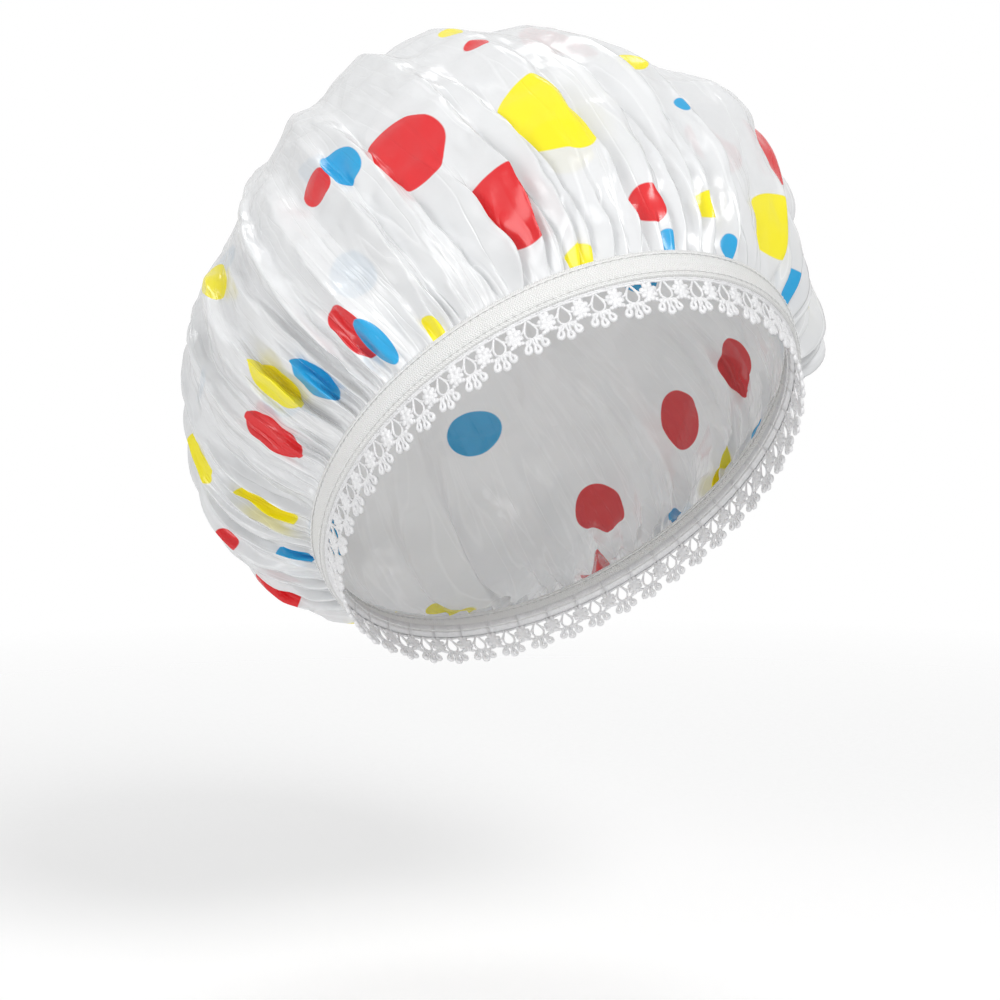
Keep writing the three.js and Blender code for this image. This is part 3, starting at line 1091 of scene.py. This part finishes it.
# %% Lace flower and fan
FLOWER_DOWN = 0.32
FLOWER_SIZE = (4.4 * mm, 5.6 * mm, 1.2 * mm)
LOBES = 8
LOBE_SIZE = (2.5 * mm, 2.0 * mm, 1.15 * mm)
LOBE_REACH = (1.75 * mm, 2.35 * mm, 0.1 * mm)
SMALL_PETALS = (
    # across, up and out from the flower's middle, then width, height and depth
    ((0.8 * mm, 3.1 * mm, 0), (1.8 * mm, 1.7 * mm, 1.0 * mm)),
    ((0.9 * mm, 0.5 * mm, 0.35 * mm), (1.9 * mm, 2.4 * mm, 1.0 * mm)),
)
DROPS = ((-0.255, 0.775, -0.30), (0.0, 0.865, 0.0), (0.255, 0.775, 0.30))
DROP_STEPS = 12
DROP_WIDTH = (0.80 * mm, 0.30 * mm)
DROP_HEIGHT = 1.25 * mm
DROP_CORD = 1.12 * mm
DROP_SWELL = (1.06, 0.16)
STALK_ROOT = (0.45, 0.57)
STALK_TOP = 1.2 * mm
STALK_SIDE = 0.35 * mm
STALK_BEND = 1.4
STALK_CORD = 0.95 * mm
FAN_KNOTS = ((0.10, 0.60), (0.22, 0.60), (0.33, 0.55))
FAN_KNOT_SIZE = (1.7 * mm, 1.5 * mm, 1.0 * mm)
FAN_KNOT_LEAN = 0.5


def add_flower(bm):
    centre = motif_place(0.5, FLOWER_DOWN)
    add_petal(bm, centre, *FLOWER_SIZE, around=10, rows=6)
    across, up, out = LOBE_REACH
    for lobe in range(LOBES):
        angle = 2 * math.pi * (lobe + 0.5) / LOBES
        spoke = Vector((math.cos(angle) * across, math.sin(angle) * up, out * (-1) ** lobe))
        add_petal(bm, centre + spoke, *LOBE_SIZE, angle)
    for side in (-1, 1):
        for (across, up, out), size in SMALL_PETALS:
            add_petal(bm, centre + Vector((side * across, up, out)), *size, around=7, rows=4)


def add_fan(bm):
    for across, down, lean in DROPS:
        centre = motif_place(across, down)
        sideways = Vector((math.cos(lean), math.sin(lean), 0))
        upward = Vector((-math.sin(lean), math.cos(lean), 0))
        rim = []
        for step in range(DROP_STEPS):
            angle = 2 * math.pi * step / DROP_STEPS
            width = DROP_WIDTH[0] - DROP_WIDTH[1] * math.sin(angle)
            place = centre + sideways * width * math.cos(angle) + upward * DROP_HEIGHT * math.sin(angle)
            rim.append((*place, DROP_SWELL[0] - DROP_SWELL[1] * math.sin(angle)))
        add_cord(bm, rim, DROP_CORD, closed=True, sides=2)
        root = motif_place(across * STALK_ROOT[0], STALK_ROOT[1])
        top = centre + upward * STALK_TOP
        for side in (-STALK_SIDE, STALK_SIDE):
            shift = sideways * side
            add_cord(bm, [root + shift, (root + top) / 2 + shift * STALK_BEND, top + shift], STALK_CORD)
    for side in (-1, 1):
        for across, down in FAN_KNOTS:
            centre = motif_place(side * across, down)
            add_petal(bm, centre, *FAN_KNOT_SIZE, side * FAN_KNOT_LEAN, around=7, rows=4)


def bent_lace():
    """Copies the flat motif round the band, a copy for each pitch, and bends each to the ellipse."""
    motif = bmesh.new()
    for add_part in (add_header, add_fork, add_flower, add_fan):
        add_part(motif)
    flat_mesh = mesh_from("lace_motif", motif)
    print("lace motif", len(flat_mesh.polygons), "faces")
    bm = bmesh.new()
    for number in range(MOTIF_COUNT):
        start = len(bm.verts)
        bm.from_mesh(flat_mesh)
        bm.verts.ensure_lookup_table()
        placed = bm.verts[start:]
        place = np.array([vert.co for vert in placed])
        share = (number + 0.5 + place[:, 0] / PITCH) / MOTIF_COUNT
        up = place[:, 1]
        place_verts(placed, share, place[:, 2] + pressed_out(up), up)
    bpy.data.meshes.remove(flat_mesh)
    return bm


LACE_COLOURS = (0.66, 0.66, 0.67, 1), (0.87, 0.87, 0.88, 1)


def lace_material():
    material, tree, shader = new_material("lace thread")
    fibre, shade = add_fibre(tree, "lace")
    add_bump(tree, shader, fibre, "lace")
    tone = times(tree, fibre, spread(tree, shade, 0.2, 0.8, 0.8, 1.2))
    dress(tree, shader, spread(tree, tone, 0.25, 0.6), LACE_COLOURS, shade, (0.28, 0.45))
    return material


lace_mesh = mesh_from("lace_trim_corded", bent_lace())
make_piece("lace_trim_corded", lace_mesh, lace_material(), ("lace_trim",))

# %% [markdown]
# The elastic is hidden in the folded tape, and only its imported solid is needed. It still gets the finish of
# a woven elastic: fine ribs along the band over a soft cream white.

# %% Elastic material
RIBS_SCALE = 160.0
ELASTIC_COLOURS = (0.70, 0.68, 0.62, 1), (0.82, 0.80, 0.75, 1)


def elastic_material():
    material, tree, shader = new_material("woven elastic")
    fibre, shade = add_fibre(tree, "elastic")
    place = tree.nodes.new("ShaderNodeTexCoord").outputs["Object"]
    ribs = add_node(tree, "ShaderNodeTexWave", {"bands_direction": "Z"}, Vector=place, Scale=RIBS_SCALE)
    add_bump(tree, shader, calculate(tree, "ADD", ribs.outputs["Fac"], fibre), "elastic")
    dress(tree, shader, spread(tree, shade, *NOISE_RANGE), ELASTIC_COLOURS, fibre, (0.6, 0.8))
    return material


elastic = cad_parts["elastic_band"]
elastic.data.materials.clear()
elastic.data.materials.append(elastic_material())

# %% [markdown]
# The floor is plain and pale and carries only the cap's soft shadow. It fades out well beyond the cap, so
# that no horizon shows, and the world behind is white to the camera but gives the cap only an even,
# moderate light.

# %% Floor and white surround
FLOOR_DROP = 190 * mm
FLOOR_SIZE = 3.0
FADE_START = 0.35
FADE_END = 0.95
FLOOR_GLOW = 0.2
SPECKLE_SCALE = 300.0
FLOOR_COLOURS = (0.90, 0.90, 0.90, 1), (0.94, 0.94, 0.94, 1)
WORLD_LIGHT = 0.46
WHITE = (1, 1, 1, 1)


def seen_by_eye(tree):
    """1 for rays from the camera and for glossy and transmitted rays, and 0 for the rest."""
    path = tree.nodes.new("ShaderNodeLightPath")
    seen = calculate(tree, "MAXIMUM", path.outputs["Is Camera Ray"], path.outputs["Is Glossy Ray"])
    return calculate(tree, "MAXIMUM", seen, path.outputs["Is Transmission Ray"])


def floor_material():
    material, tree, shader = new_material("pale floor")
    place = tree.nodes.new("ShaderNodeTexCoord").outputs["Object"]
    distance = calculate_place(tree, "LENGTH", place)
    speckle = noise(tree, place, SPECKLE_SCALE)
    fill(
        tree, shader, Base_Color=blend_colour(tree, speckle, *FLOOR_COLOURS), Roughness=0.9,
        Specular_IOR_Level=0.1, Alpha=spread(tree, distance, FADE_START, FADE_END, 1.0, 0.0),
        Emission_Color=WHITE, Emission_Strength=times(tree, seen_by_eye(tree), FLOOR_GLOW),
    )
    return material


floor_bm = bmesh.new()
bmesh.ops.create_grid(floor_bm, x_segments=1, y_segments=1, size=FLOOR_SIZE / 2)
for vert in floor_bm.verts:
    vert.co.z = -FLOOR_DROP
floor_mesh = bpy.data.meshes.new("floor")
floor_bm.to_mesh(floor_mesh)
floor_bm.free()
floor_mesh.materials.append(floor_material())
floor = add_object("floor", floor_mesh)

world = bpy.data.worlds.new("studio")
scene.world = world
world.use_nodes = True
sky = world.node_tree
sky.nodes.clear()
strength = spread(sky, seen_by_eye(sky), 0.0, 1.0, WORLD_LIGHT, 1.0)
background = add_node(sky, "ShaderNodeBackground", None, Color=WHITE, Strength=strength)
sky.links.new(background.outputs[0], sky.nodes.new("ShaderNodeOutputWorld").inputs[0])

# %% [markdown]
# Three broad lamps light the cap as a studio would: a key from above the camera's right, a wide fill from
# low on its left, and a weak one behind and above that shines through the film and draws out its folds.

# %% Lamps
LAMPS = {
    # degrees round and up, distance and size in metres, watts
    "key": (0, 42, 1.4, 0.5, 9),
    "fill": (-66, 10, 1.6, 0.9, 8.5),
    "rim": (150, 60, 1.4, 0.5, 2.5),
}
for name, (azimuth, elevation, distance, size, power) in LAMPS.items():
    light = bpy.data.lights.new(name, "AREA")
    light.shape = "DISK"
    light.size = size
    light.energy = power
    lamp = add_object(name, light)
    back = direction(azimuth, elevation)
    lamp.location = back * distance
    lamp.rotation_euler = back.to_track_quat("Z", "Y").to_euler()

scene.view_settings.view_transform = "Standard"
